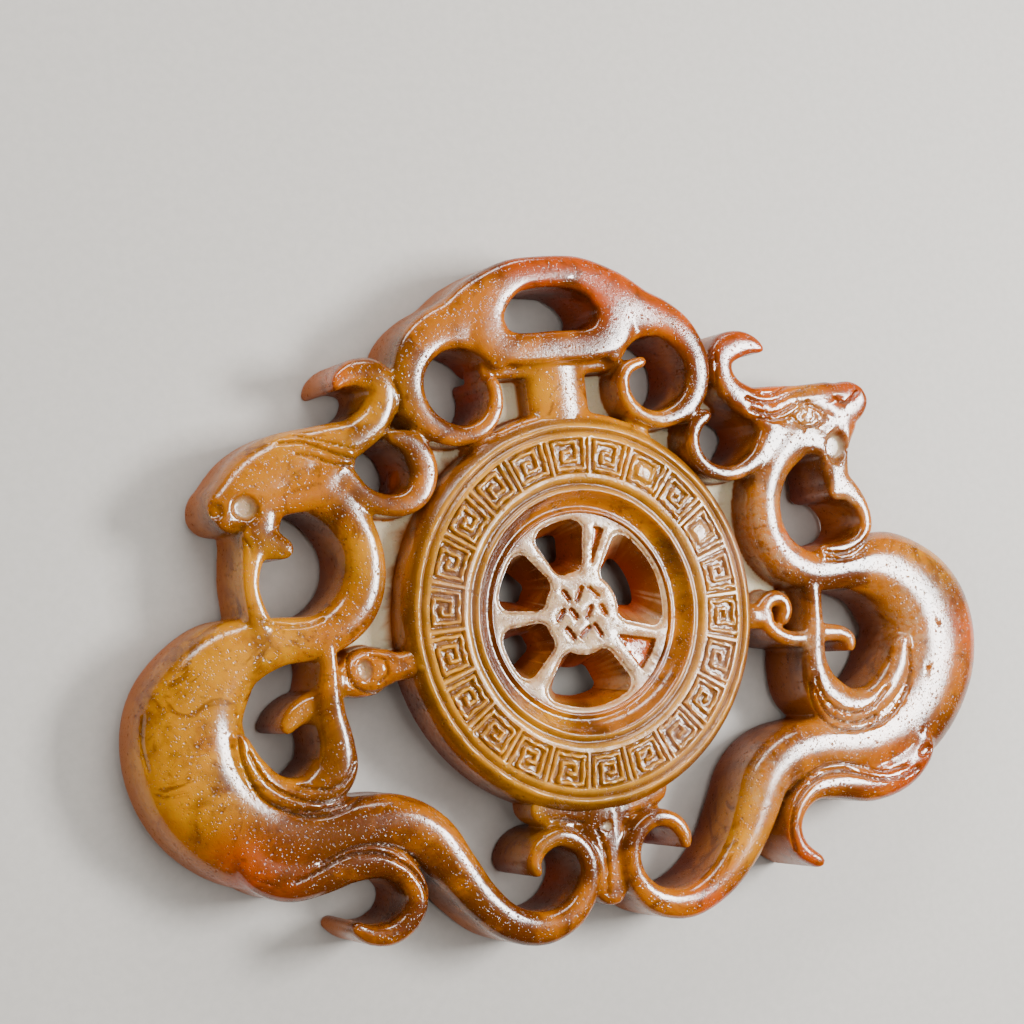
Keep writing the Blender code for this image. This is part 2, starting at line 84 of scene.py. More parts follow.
rightFoot = [(46, -20.5, 2), (46.6, -22.8, 2.6), (43.6, -25.2, 2.8), (38.8, -26.4, 2.4), (33.6, -25.8, 1.9),
             (29.6, -25.7, 1.6), (26.8, -27.3, 1.4), (25.5, -30, 1.25), (26.2, -32.7, 1.15),
             (28.4, -34.6, 0.9)]
leftFoot = [(-46, -20.5, 2), (-44.4, -23.2, 2.4), (-41, -24.9, 2.6), (-37, -24.8, 2.5), (-33.3, -24.4, 2.2),
            (-29.6, -24.9, 1.9), (-27.2, -26.7, 1.6), (-26.2, -29.2, 1.4), (-27.3, -31.7, 1.3),
            (-29.8, -33, 1.25), (-32.4, -32.7, 1.1), (-34, -31.7, 0.85)]
rightLeg = [(33.2, 0.8, 1.6), (33, -2.5, 1.15), (32.8, -5.2, 1.3), (32.4, -7.6, 1.5), (32.2, -10.6, 2),
            (33.4, -14.1, 2.8), (37.2, -16.7, 2.6), (41.4, -15.8, 2.3), (44.5, -13, 2.1), (45.8, -9.8, 1.5)]
leftLeg = [(-33.7, 0.8, 1.3), (-33.6, -2.5, 1.05), (-33.9, -5.4, 1.5), (-33.9, -8.2, 1.9),
           (-33.5, -11, 2.1), (-34.1, -14.1, 2.7), (-37.6, -16.4, 2.5), (-41.4, -15.5, 2.2),
           (-44, -12.7, 2), (-45.2, -9.6, 1.4)]
rightLegHook = [(32.9, -6.4, 1.2), (34.8, -6.6, 1.1), (36.8, -7, 1), (37.9, -7.9, 0.9), (37.8, -8.7, 0.7)]
leftLegHook = [(-34, -6.6, 2), (-36, -6.6, 1.7), (-37.8, -7.2, 1.3), (-39, -8.2, 0.9)]
rightScroll = [(32.6, -6.2, 1.05), (30.8, -6.9, 1), (28.6, -6.6, 1), (26.6, -5.5, 1.05), (25.5, -3.8, 1.1),
              (25.6, -2.2, 1.1), (27, -1.3, 1), (28.4, -1.8, 0.95), (28.8, -3.1, 0.9), (28.3, -4, 0.8)]
leftScroll = [(-32.4, -4.2, 1.5), (-30.8, -3.9, 2.4), (-29.2, -3.5, 2.8), (-27.7, -3.3, 2.8),
              (-26.6, -3.2, 2.2)]
scrollRoot = [(20, -2.8, 1.7), (25, -3.4, 1.6)]
rightHorn = [(29, 18.4, 1.8), (27.3, 16.6, 1.3), (24.8, 15.2, 1), (22.2, 14.8, 0.95), (19.8, 15.5, 0.95),
            (18.1, 17.2, 0.95), (17.7, 19.3, 0.95), (18.5, 21.2, 0.95), (20, 22.2, 0.85)]
leftHorn = [(-29, 18.4, 1.8), (-27.2, 16.5, 1.4), (-24.7, 15.3, 1.25), (-22.1, 15.1, 1.35),
            (-20, 16.2, 1.55), (-19, 18.3, 1.75), (-19.3, 20.5, 1.8), (-20.6, 22.2, 1.4),
            (-22.4, 22.9, 0.9)]
nape = [(29.6, 20.8, 2.3), (31.5, 19, 3)]
rightHook = [(28.5, 22.6, 2.2), (24.6, 25, 1.8), (23.3, 27.9, 1.6), (24.2, 30.2, 2), (26.6, 30.9, 1.7),
             (28.4, 30.6, 1.1), (29.3, 30.1, 0.6)]
leftHook = [(-28.5, 22.6, 2.2), (-24.4, 25, 2), (-22.9, 28, 2), (-23.8, 30.2, 2), (-26.2, 30.7, 1.6),
            (-28, 30.1, 1.15), (-28.8, 29.4, 0.7)]
rightCloud = [(0, 41.3, 1.9), (4.6, 40.8, 2.1), (9, 38.4, 2.8), (12.2, 36, 3), (15.4, 34.9, 2.4),
              (18, 33, 2.1), (19.6, 30.2, 1.8), (19.8, 27.2, 1.7), (18.6, 24.6, 1.55), (16.2, 22.9, 1.3),
              (13.2, 22.3, 1.05), (10.6, 23.3, 0.95), (9.1, 25.2, 0.9), (8.9, 27.4, 0.85), (9.8, 28.9, 0.8),
              (11.8, 29.5, 0.65)]
leftCloud = [(0, 41.3, 1.9), (-4.6, 40.8, 2.1), (-9, 38.4, 2.8), (-12.2, 36, 3), (-15.4, 34.9, 2.6),
             (-18, 33, 2.4), (-19.5, 30.2, 2.1), (-19.6, 27.2, 2), (-18.2, 24.6, 1.7), (-15.8, 22.9, 1.4),
             (-12.8, 22.4, 1.1), (-10.3, 23.4, 1), (-8.9, 25.3, 0.95), (-8.6, 27.3, 0.85), (-9, 28.4, 0.75)]
capRing = [(0, 41.4, 1.5), (-3.6, 41, 1.7), (-7, 39.2, 2.3), (-8.7, 36.4, 2.5), (-8.2, 33.7, 2.6),
           (-5.5, 32.2, 1.95), (0, 32.1, 1.9), (5.5, 32.2, 1.95), (8.4, 33.7, 2.7), (9, 36.4, 2.5),
           (7.2, 39.3, 2.3), (3.8, 41, 1.6), (0, 41.4, 1.5)]
rightHead = [[(27, 23.3, 2), (31, 22.8, 2.5), (35.5, 21.9, 3.3), (39.6, 21.7, 3.6), (42, 22.3, 2.9)],
             [(40, 20, 3.2), (39, 16.6, 2.3), (38.8, 13, 1.9)],
             [(32, 18.8, 2.4), (35.6, 18.2, 2), (38.4, 17, 1.8)],
             [(39, 12.2, 1.9), (41, 10.3, 1.3), (42.1, 8.3, 0.95), (42.2, 6.3, 0.9), (40.9, 4.6, 0.9),
              (38.4, 3.8, 0.95), (35.4, 3.6, 1)],
             [(39.8, 11.4, 1.5), (38.3, 11.3, 1.3)]]
leftHead = [[(-28, 23.3, 2), (-31, 22.8, 2.3), (-35.6, 21, 3.7), (-39.4, 18.9, 4), (-42.6, 16.8, 3.1)],
            [(-39.4, 17, 3.2), (-40, 13.6, 2.4), (-41.2, 10.8, 1.4), (-41.8, 8.2, 1.05), (-41.7, 6, 1.1),
             (-41.2, 3.4, 1.5)],
            [(-40, 13, 2.3), (-38.8, 12.2, 1.9), (-37.6, 11.6, 1.3)],
            [(-40, 16.8, 2.4), (-36.8, 17.1, 1.9), (-33.4, 17.5, 2.1)]]
curlArches = [[(14.8, 34.2, 1.5), (12, 34.1, 1.6), (9.7, 32.9, 1.6), (8.3, 31.2, 1.5)],
              [(-14.2, 34.2, 1.5), (-11.4, 34.1, 1.6), (-9, 32.9, 1.6), (-7.7, 31.2, 1.4)]]
sideWebs = [[(19, 12, 3), (26, 8, 4)], [(20, 13.4, 2.6), (26, 13.4, 2.6)], [(18.6, 1, 2.5), (28, 1.6, 3)],
            [(27, -3.4, 2.2), (31, -3, 2.2)], [(14.5, 17, 2.6), (17.4, 21.4, 2.4)],
            [(9.6, 20, 2.6), (14, 20, 2.4)], [(16.6, 15, 2.2), (19.4, 17.6, 2.2)],
            [(19.6, 24, 1.8), (22.8, 24.2, 1.8)], [(21, 4.6, 2), (26, 4.6, 2)]]
topWeb = [(-3.8, 25.4, 5.6), (3.8, 25.4, 5.6)]
capLedge = [(-8.6, 29.9, 1.1), (8.8, 29.9, 1.1)]
discLedge = [(10.5, 19.8, 2), (5.4, 21.7, 2), (0, 22.4, 2), (-5.4, 21.7, 2), (-10.5, 19.8, 2)]
bottomWeb = [(-8, -22.2, 2.2), (-2, -23.6, 2.6), (4, -23.2, 2.4), (6.6, -22.4, 2)]
spiralWeb = [(-0.8, -24.4, 3), (-0.8, -28, 2.6), (-0.8, -32.6, 2.4)]
topBlock = [(0.55, 20, 4.1), (0.55, 30, 4.1)]


def mirrored(stroke):
    # the same stroke on the other side, x negated
    return [(-x, y, w) for x, y, w in stroke]


def alongPath(stroke, spacing):
    # even points of a smooth curve: cubic pieces through the stroke, read at equal lengths
    p = np.array(stroke, float)
    held = np.vstack([p[:1], p, p[-1:]])
    t = np.linspace(0, len(p) - 1, 30 * len(p))
    i = np.minimum(t.astype(int), len(p) - 2)
    u = (t - i)[:, None]
    a, b, c, d = held[i], held[i + 1], held[i + 2], held[i + 3]
    square, cube = 2 * a - 5 * b + 4 * c - d, 3 * b - a - 3 * c + d
    fine = 0.5 * (2 * b + (c - a) * u + square * u ** 2 + cube * u ** 3)
    s = np.concatenate([[0], np.cumsum(np.hypot(*np.diff(fine[:, :2], axis=0).T))])
    stops = np.linspace(0, s[-1], max(3, int(round(s[-1] / spacing))) + 1)
    return np.stack([np.interp(stops, s, fine[:, k]) for k in range(fine.shape[1])], 1)


def headings(path):
    # unit tangent from the neighbours on both sides
    d = np.gradient(path[:, :2], axis=0)
    return d / np.hypot(*d.T)[:, None]


def limbSurface(stroke, top, bottom, section):
    # ring(angle) at each place of the path: across = w cos^power, up = crown sin^power, flat back
    path = alongPath(stroke, plaque["step"])
    way = headings(path)
    reach = np.array([0.2, 0.4, 0.58, 0.74, 0.87, 0.95, 0.99])
    first = path[0] + np.c_[-reach[::-1, None] * path[0, 2] * way[0], np.zeros(7)]
    last = path[-1] + np.c_[reach[:, None] * path[-1, 2] * way[-1], np.zeros(7)]
    shrink = np.sqrt(1 - reach ** 2)
    first[:, 2] *= shrink[::-1]
    last[:, 2] *= shrink
    path = np.vstack([first, path, last])
    way = np.vstack([np.repeat(way[:1], 7, 0), way, np.repeat(way[-1:], 7, 0)])
    w = path[:, 2:3]
    share, most, power = plaque[section]
    crown = np.minimum(np.minimum(share * w, most), 0.6 * (top - bottom))
    edge = np.minimum(np.minimum(0.5 * w, plaque["backEdge"]), 0.35 * (top - bottom))
    angle = np.linspace(0, np.pi, 25)[None]
    c, s = np.cos(angle), np.sin(angle)
    across = w * np.sign(c) * np.abs(c) ** power
    height = top - crown + crown * np.abs(s) ** power
    turn = np.linspace(0, np.pi / 2, 6)[None]
    leftAcross = -w + edge * (1 - np.cos(turn))
    low = bottom + edge * (1 - np.sin(turn))
    across = np.hstack([across, leftAcross, -leftAcross[:, ::-1]])
    height = np.hstack([height, low, low[:, ::-1]])
    x = path[:, :1] - way[:, 1:] * across
    y = path[:, 1:2] + way[:, :1] * across
    return np.stack([x, y, height], -1)


def tubeFaces(rows, columns, offset):
    # quads of a grid closed round its columns, with a fan of one face at each end
    i, j = np.meshgrid(np.arange(rows - 1), np.arange(columns), indexing="ij")
    k = (j + 1) % columns
    near, far = i * columns, (i + 1) * columns
    quads = np.stack([near + j, near + k, far + k, far + j], -1).reshape(-1, 4)
    ends = [list(range(columns))[::-1], list(range((rows - 1) * columns, rows * columns))]
    return (quads + offset).tolist() + [[v + offset for v in e] for e in ends]


def newObject(name, points, faces):
    # a mesh object in the scene, from its points and faces
    mesh = bpy.data.meshes.new(name)
    mesh.from_pydata(points.reshape(-1, 3).tolist(), [], faces)
    mesh.update()
    made = bpy.data.objects.new(name, mesh)
    bpy.context.scene.collection.objects.link(made)
    return made


def facingOut(made):
    # every face turned to look outwards
    bm = bmesh.new()
    bm.from_mesh(made.data)
    bmesh.ops.recalc_face_normals(bm, faces=bm.faces)
    bm.to_mesh(made.data)
    bm.free()


def applied(made):
    # the modifiers' result becomes the mesh
    graph = bpy.context.evaluated_depsgraph_get()
    mesh = bpy.data.meshes.new_from_object(made.evaluated_get(graph))
    made.modifiers.clear()
    made.data = mesh
    return made


def getPoints(mesh):
    # the mesh's places, one row of three for each point
    a = np.empty(len(mesh.vertices) * 3, np.float32)
    mesh.vertices.foreach_get("co", a)
    return a.reshape(-1, 3).astype(float)


def getNormals(mesh):
    # the mesh's directions, one row of three for each point
    a = np.empty(len(mesh.vertices) * 3, np.float32)
    mesh.vertices.foreach_get("normal", a)
    return a.reshape(-1, 3).astype(float)


def setPoints(mesh, points):
    # rows of three put back as the mesh's places
    mesh.vertices.foreach_set("co", points.astype(np.float32).ravel())
    mesh.update()


# Dragons, clouds and webs: every limb is a carried profile, and then they become one form.
thick = plaque["thick"]
webTop = thick - plaque["web"]
webLow = webTop - plaque["webThick"]
limbs = [(neck + rightFlank + rightBody, thick, 0, "round"), (rightFoot, thick, 0, "round"),
         (mirrored(neck) + leftFlank + leftBody, thick, 0, "round"), (leftFoot, thick, 0, "round"),
         (capRing, thick, 0, "plate"), (rightCloud, thick, 0, "flat"), (leftCloud, thick, 0, "flat"),
         (rightLeg, thick - 0.2, 0, "round"), (leftLeg, thick - 0.2, 0, "round"),
         (rightLegHook, thick - 0.5, 0, "round"), (leftLegHook, thick - 1.2, 0, "round"),
         (rightScroll, thick - 0.5, 0, "round"), (leftScroll, thick - 0.8, 0, "round"),
         (rightHorn, thick, 0, "flat"), (leftHorn, thick - 0.1, 0, "flat"), (nape, thick, 0, "round"),
         (mirrored(nape), thick, 0, "round"), (rightHook, thick, 0, "flat"), (leftHook, thick, 0, "round")]
limbs += [(stroke, thick - 0.3, 0, "flat") for stroke in curlArches]
limbs += [(stroke, thick, plaque["headRelief"], "flat") for stroke in rightHead]
limbs += [(stroke, thick, plaque["headRelief"], "round") for stroke in leftHead]
webs = [topWeb] + sideWebs + [mirrored(stroke) for stroke in sideWebs]
limbs += [(stroke, webTop, webLow, "plate") for stroke in webs]
limbs += [(stroke, thick - 0.6, webLow, "round") for stroke in (scrollRoot, mirrored(scrollRoot))]
limbs += [(capLedge, thick - 1.6, webLow, "flat"), (discLedge, thick - 1, webLow, "flat"),
          (bottomWeb, thick - 1.4, webLow, "flat"), (spiralWeb, thick - 1, webLow, "flat"),
          (topBlock, thick - 0.8, webLow, "block")]

points, faces, count = [], [], 0
for number, (stroke, top, bottom, section) in enumerate(limbs):
    rings = limbSurface(stroke, top - 0.03 * (number % 4), bottom, section)
    faces += tubeFaces(rings.shape[0], rings.shape[1], count)
    points.append(rings.reshape(-1, 3))
    count += rings.shape[0] * rings.shape[1]
jade = newObject("jadeCarving", np.vstack(points), faces)
facingOut(jade)
merge = jade.modifiers.new("oneForm", "REMESH")
merge.mode = "VOXEL"
merge.voxel_size = plaque["voxel"]
applied(jade)
soften = jade.modifiers.new("worn", "SMOOTH")
soften.factor = 0.5
soften.iterations = plaque["softening"]
applied(jade)
print("limbs merged:", len(jade.data.vertices), "points")

# Engraved lines, (half width, depth, points), where the photograph shows them on the front plane.
cuts = dict(
    rightScroll=[(0.34, 0.5, [(30.1, -12.6), (30.3, -15.2), (31.6, -17.4), (33.9, -18.9), (37.2, -19.3),
                              (40.4, -18.8), (43, -17.4), (45, -15.1), (46, -12.6), (46.2, -10)]),
                 (0.3, 0.42, [(30.9, -13.6), (32, -16.3), (34, -17.8), (36.6, -18.3), (39.6, -17.9)]),
                 (0.3, 0.42, [(31.2, -12), (31.7, -13.9), (33, -15.7), (34.8, -16.7), (37.1, -17.1),
                              (39.5, -16.5), (41.8, -14.7)])],
    leftScroll=[(0.36, 0.5, [(-45.5, -8.3), (-45.3, -11.3), (-44.1, -14.7), (-42, -16.7), (-39.2, -18.1),
                             (-36.1, -18.5), (-33.3, -17.9), (-31.2, -16.1), (-30.4, -13.6),
                             (-30.8, -11.4)]),
                (0.3, 0.42, [(-44.5, -10.3), (-43, -13.5), (-40.5, -15.6), (-37.3, -16.9), (-34.5, -16.8),
                             (-32.4, -15.3), (-31.3, -12.7)]),
                (0.26, 0.34, [(-39.4, -14.7), (-36.2, -15.6), (-33.7, -15), (-32.2, -13.1)]),
                (0.26, 0.3, [(-40.8, -17.2), (-37.4, -17.9), (-34, -17.4), (-31.8, -15.7),
                             (-30.9, -13.2)])],
    rightHip=[(0.36, 0.5, [(45.2, -25.4), (42.6, -26.2), (39.4, -26.1), (36.4, -25.1), (33.4, -24.2),
                           (30.2, -24.2), (27.4, -25.5), (25.5, -27.6), (24.6, -30.2), (24.9, -32.6)]),
              (0.34, 0.36, [(43.4, -25), (39.6, -25.1), (36.4, -23.9), (33, -23), (29.6, -23.2),
                            (26.4, -24.6), (24.2, -27), (23, -30)])],
    leftHip=[(0.36, 0.5, [(-41, -25.2), (-38, -24.4), (-35.5, -23.5), (-33, -23.3), (-29.9, -24),
                          (-27.4, -25.7), (-25.9, -27.8), (-25.3, -30.2)]),
             (0.32, 0.4, [(-37.6, -23.6), (-34.2, -22.6), (-31, -22.6), (-28.2, -23.5), (-25.9, -25.4),
                          (-24.6, -28), (-24.4, -30.8)]),
             (0.14, 0.2, [(-45.7, -24.1), (-43.7, -25)])],
    rightHead=[(0.26, 0.34, [(26.1, 24.1), (28, 23.3), (30.3, 23.2), (33, 24), (35.6, 24.7)]),
               (0.28, 0.4, [(26.6, 22.5), (28.5, 21.8), (30.5, 21.6), (32.1, 22.2), (33.6, 22.7),
                            (35.4, 22.9)]),
               (0.24, 0.32, [(27.4, 21.3), (29.6, 20.9), (31.4, 20.9), (32.7, 21.3)]),
               (0.24, 0.32, [(27.8, 24.3), (30, 24.2), (32.2, 24.9)]),
               (0.22, 0.36, [(32.5, 21.2), (33.8, 21.9), (35.4, 22.3), (37, 21.7), (37.7, 20.7),
                             (36.5, 19.8), (34.9, 19.6), (33.5, 20.2), (32.5, 21.2)]),
               (0.16, 0.26, [(33.8, 21), (34.6, 21.5), (35.6, 21.5), (36.2, 20.9), (35.4, 20.3),
                             (34.4, 20.4), (33.8, 21)]),
               (0.32, 0.55, [(39.5, 23.1), (40.7, 22.3), (41.9, 22.6), (43, 23.6)])],
    leftHead=[(0.28, 0.4, [(-27.8, 20.7), (-29.9, 21.5), (-32, 22.4), (-34.2, 23.2), (-36.8, 23.3)]),
              (0.26, 0.36, [(-28.4, 20), (-30.8, 20.5), (-32.7, 21.4), (-34.9, 21.9)]),
              (0.22, 0.3, [(-27.6, 21.9), (-30, 22.6), (-32.4, 23.4), (-35, 24)]),
              (0.3, 0.5, [(-31.5, -1), (-31.8, -3.2), (-30.9, -5), (-29, -5.8), (-26.9, -5.3)]),
              (0.26, 0.34, [(-29, -1.6), (-27.3, -2.2), (-26.9, -3.7), (-28.2, -4.7)]),
              (0.2, 0.24, [(-42.3, 13.2), (-41.6, 12.1), (-41.5, 10.8)])],
    bodies=[(0.3, 0.36, [(35, 3.6), (38, 3.1), (40.6, 3.9), (42.4, 5.2)]),
            (0.26, 0.3, [(35.2, 2.8), (38.4, 2.3), (41.4, 3.2)]),
            (0.28, 0.3, [(-41.4, 3.9), (-39, 3), (-36.4, 2.7), (-34, 3.2)]),
            (0.3, 0.3, [(-55.9, -4.8), (-56.4, -7.6), (-56, -10.6)]),
            (0.3, 0.4, [(21.4, 30.2), (21.3, 27.4), (20.6, 25)]),
            (0.24, 0.3, [(22.3, 29.8), (22.1, 27.2), (21.8, 25.4)]),
            (0.3, 0.34, [(-21.8, 29.4), (-21.2, 27.2), (-21.9, 25.2), (-23.6, 23.7)]),
            (0.28, 0.3, [(-9.4, 21.9), (-12, 21.1), (-14.8, 21.3)]),
            (0.28, 0.3, [(9.6, 22.6), (12.2, 21.4), (14.6, 20.7)]),
            (0.3, 0.34, [(-2.6, -25.6), (-1.9, -28), (-1.8, -30.6), (-2.2, -33.2)]),
            (0.3, 0.4, [(-8.3, -23.5), (-6.4, -23.9), (-4.4, -24.4)]),
            (0.3, 0.4, [(1.8, -24.5), (4.4, -24.1), (6.9, -23.6)])])
# Dished ovals are (x, y, half length, half height, turn in degrees, depth).
dishes = [(38.9, 16.8, 1.9, 2.4, -18, 1.2), (-29.7, -3.1, 1.1, 1.4, 0, 0.9),
          (-41.6, 16.5, 1.75, 1.6, 0, 1.0), (-45.1, 16.4, 1.1, 1.1, 0, 0.5), (21.2, 23.7, 1.1, 0.9, 0, 0.6),
          (-1.3, -25.4, 0.9, 0.7, 0, 0.4), (46.7, -23.4, 1.3, 0.8, 20, 0.55),
          (51.4, -7.6, 0.28, 0.28, 0, 0.3), (48.7, -13, 0.26, 0.26, 0, 0.3),
          (-45.6, -6, 0.36, 0.3, 0, 0.35), (-46.4, -9.4, 0.32, 0.3, 0, 0.3),
          (46.6, -20.8, 0.5, 0.24, 60, 0.25)]


def seenAt(points):
    # where the camera sees a point on the front plane: its offset shrinks with its depth
    drop = plaque["thick"] - points[:, 2]
    share = plaque["eyeHeight"] / (plaque["eyeHeight"] + drop)
    eye = np.array(plaque["eye"])
    return eye + (points[:, :2] - eye) * share[:, None]


def fromStroke(xy, path):
    # gap from each point to the nearest piece of a line
    a, d = path[:-1], np.diff(path, axis=0)
    rel = xy[:, None] - a[None]
    t = np.clip((rel * d).sum(-1) / (d * d).sum(-1), 0, 1)
    return np.hypot(*np.moveaxis(rel - t[..., None] * d, -1, 0)).min(1)


def engraved(xy):
    # summed line depths: each is depth times (1 - (gap / half width)^2)^2
    total = np.zeros(len(xy))
    for group in cuts.values():
        for half, depth, stroke in group:
            path = alongPath([(x, y, 0) for x, y in stroke], 0.5)[:, :2]
            low, high = path.min(0) - half, path.max(0) + half
            near = np.flatnonzero(((xy > low) & (xy < high)).all(1))
            gap = fromStroke(xy[near], path)
            total[near] = np.maximum(total[near], depth * np.clip(1 - (gap / half) ** 2, 0, 1) ** 2)
    return total


def dished(xy):
    # depth of the ovals: a steep wall and a flat floor, from 1 - (distance in half axes)^2
    total = np.zeros(len(xy))
    for x, y, rx, ry, turn, depth in dishes:
        c, s = math.cos(math.radians(turn)), math.sin(math.radians(turn))
        dx, dy = xy[:, 0] - x, xy[:, 1] - y
        away = ((dx * c + dy * s) / rx) ** 2 + ((dy * c - dx * s) / ry) ** 2
        wall = np.clip((1 - away) / 0.75, 0, 1)
        total = np.maximum(total, depth * wall * wall * (3 - 2 * wall))
    return total


def waves(points, sizes, seed):
    # smooth unevenness between -1 and 1: a few sine waves of random direction and phase
    pick = np.random.default_rng(seed)
    total = np.zeros(len(points))
    for size in sizes:
        for way, phase in zip(pick.normal(size=(4, 3)), pick.uniform(0, 2 * np.pi, 4)):
            total += np.sin(points @ (way / np.linalg.norm(way)) * 2 * np.pi / size + phase)
    return total / (4 * len(sizes))


points = getPoints(jade.data)
up = np.clip((getNormals(jade.data)[:, 2] - 0.1) / 0.35, 0, 1)
seen = seenAt(points)
points[:, 2] -= up * (engraved(seen) + dished(seen))
points[:, 2] += up * 0.12 * (waves(points, (5.5, 9, 16), 4) - 0.6)
setPoints(jade.data, points)
print("limbs engraved")

# The fret disc: radii and depths in millimetres, angles in degrees anticlockwise from the right.
# Slots are (first, last) angle, fields (angle, half width per radius) and strokeRows (cuts in the row, y).
disc = dict(columns=880, rows=32, fretIn=16.6, fretOut=21.0, frets=22, fretDepth=0.46, ridge=0.21,
            soft=0.17, worn=(20, 18), recess=1.8, panel=12.1, panelThick=4.6, boss=4.9,
            slots=((-17, 59), (81, 121), (131, 173), (184, 223), (234, 305)), slotOut=11.45,
            slotCorner=1.5, slotBack=0.3, slotFloor=2.0, slotTop=12.0,
            fields=((70, 0.14), (324.5, 0.42)), strokeRows=((3, 2.3), (4, 0), (3, -2.3)), strokeGap=1.95,
            strokeHalf=0.36, strokeDepth=0.42)
fretLine = [(-0.72, 0.95), (-0.7, -0.72), (0.7, -0.72), (0.7, 0.72), (-0.33, 0.72), (-0.33, -0.3),
            (0.33, -0.3), (0.33, 0.22), (0.02, 0.22)]
# Rings are (radius, drop), inside the frets: the panel's edge, a hollow band, a ridge, a groove, a ridge.
innerRings = [(11.95, 2.0), (12.02, 1.62), (12.12, 1.46), (12.3, 1.42), (12.46, 1.52), (12.62, 1.72),
              (12.85, 1.74), (13.15, 1.62), (13.5, 1.38), (13.8, 1.08), (14.08, 0.7), (14.3, 0.34),
              (14.5, 0.1), (14.68, 0.03), (14.88, 0.08), (15.06, 0.3), (15.3, 0.52), (15.55, 0.5),
              (15.8, 0.26), (16, 0.05), (16.3, 0)]
# Outside them: a groove, a ridge, the rounded rim, the wall, the back and the way up to the panel.
outerRings = [(21.3, 0), (21.48, 0.14), (21.68, 0.4), (21.9, 0.46), (22.08, 0.3), (22.24, 0.06),
              (22.45, 0.04), (22.62, 0.2), (22.85, 0.42), (23.2, 0.74), (23.5, 1.14), (23.68, 1.6),
              (23.78, 2.3), (23.8, 3.4), (23.8, 6.2), (23.55, 6.76), (23, 7), (13.1, 7), (12.1, 6.4),
              (12.1, 4)]


def fretRidge(r, a):
    # height 0..1 of the frets: 1 within the half width of the nearest line of a cell's square spiral
    wide = 2 * np.pi / disc["frets"]
    cell = np.round((a - np.pi / 2) / wide)
    which = cell.astype(int) % disc["frets"]
    middle = (disc["fretIn"] + disc["fretOut"]) / 2
    half = (disc["fretOut"] - disc["fretIn"]) / 2
    pick = np.random.default_rng(11)
    nudge = pick.uniform(-0.05, 0.05, (disc["frets"], 4))[which]
    across = (a - np.pi / 2 - cell * wide) * middle
    out = r - middle
    step = wide * middle / 2
    u = across * (1 + nudge[:, 0]) + nudge[:, 2] + 0.05 * np.sin(3 * out + cell)
    v = out * (1 + nudge[:, 1]) + nudge[:, 3] + 0.05 * np.sin(3.4 * across + 2 * cell)
    line = np.array(fretLine) * (step, half)
    gap = fromStroke(np.stack([u, v], 1), line)
    spokes = step - np.abs(across) - 0.06
    band = np.minimum(disc["fretOut"] - r, r - disc["fretIn"])
    inside = np.clip((disc["ridge"] - np.minimum(gap, spokes)) / disc["soft"] + 0.5, 0, 1)
    edge = np.clip((0.12 - band) / 0.2 + 0.5, 0, 1)
    rubbed = np.isin(which, disc["worn"]) * np.clip(1.5 - 0.9 * np.hypot(u, v), 0, 1)
    height = np.maximum(inside * inside * (3 - 2 * inside), edge)
    return height * (1 - rubbed) + 0.75 * rubbed


def discSurface():
    # a closed profile turned once: radius and height stations times angle, with the frets between two of them
    radii = [r for r, _ in innerRings] + list(np.linspace(disc["fretIn"], disc["fretOut"], disc["rows"]))
    drops = [d for _, d in innerRings] + [0] * disc["rows"]
    radii += [r for r, _ in outerRings]
    drops += [d for _, d in outerRings]
    r, drop = np.array(radii), np.array(drops)
    a = np.arange(disc["columns"]) * 2 * np.pi / disc["columns"]
    rr, aa = np.meshgrid(r, a, indexing="ij")
    fall = np.repeat(drop[:, None], len(a), 1)
    first = len(innerRings)
    band = slice(first, first + disc["rows"])
    ridge = fretRidge(rr[band].ravel(), aa[band].ravel()).reshape(rr[band].shape)
    fall[band] = disc["fretDepth"] * (1 - ridge)
    front = np.clip(1 - fall / 1.8, 0, 1)
    grid = np.stack([rr * np.cos(aa), rr * np.sin(aa), plaque["thick"] - fall], -1)
    wander = waves(grid.reshape(-1, 3) * (1, 1, 0), (2.4, 5, 11), 7).reshape(rr.shape)
    grid[..., 2] -= front * (0.09 + 0.09 * wander)
    wobble = (0.07 * front * waves(grid.reshape(-1, 3) * (1, 1, 0), (3, 7), 9).reshape(rr.shape))[..., None]
    inner = np.clip((rr - 12.3) * 2, 0, 1)[..., None] * np.clip((23.3 - rr) * 2, 0, 1)[..., None]
    grid[..., :2] *= 1 + inner * wobble / rr[..., None]
    return grid


def ringFaces(rows, columns):
    # quads of a grid closed both ways
    i, j = np.meshgrid(np.arange(rows), np.arange(columns), indexing="ij")
    n, k = (i + 1) % rows, (j + 1) % columns
    corners = [i * columns + j, n * columns + j, n * columns + k, i * columns + k]
    return np.stack(corners, -1).reshape(-1, 4).tolist()


def slotGap(xy):
    # signed gap to the nearest bent slot, a rounded rectangle measured along its arc and its radius
    r, a = np.hypot(*xy.T), np.degrees(np.arctan2(xy[:, 1], xy[:, 0]))
    middle, half = (disc["boss"] + disc["slotOut"]) / 2, (disc["slotOut"] - disc["boss"]) / 2
    corner = disc["slotCorner"]
    best = np.full(len(xy), 99.0)
    for start, end in disc["slots"]:
        off = (a - (start + end) / 2 + 180) % 360 - 180
        u = np.abs(np.radians(off)) * middle - math.radians(end - start) / 2 * middle + corner
        v = np.abs(r - middle) - half + corner
        gap = np.hypot(np.maximum(u, 0), np.maximum(v, 0)) + np.minimum(np.maximum(u, v), 0) - corner
        best = np.minimum(best, gap)
    return best


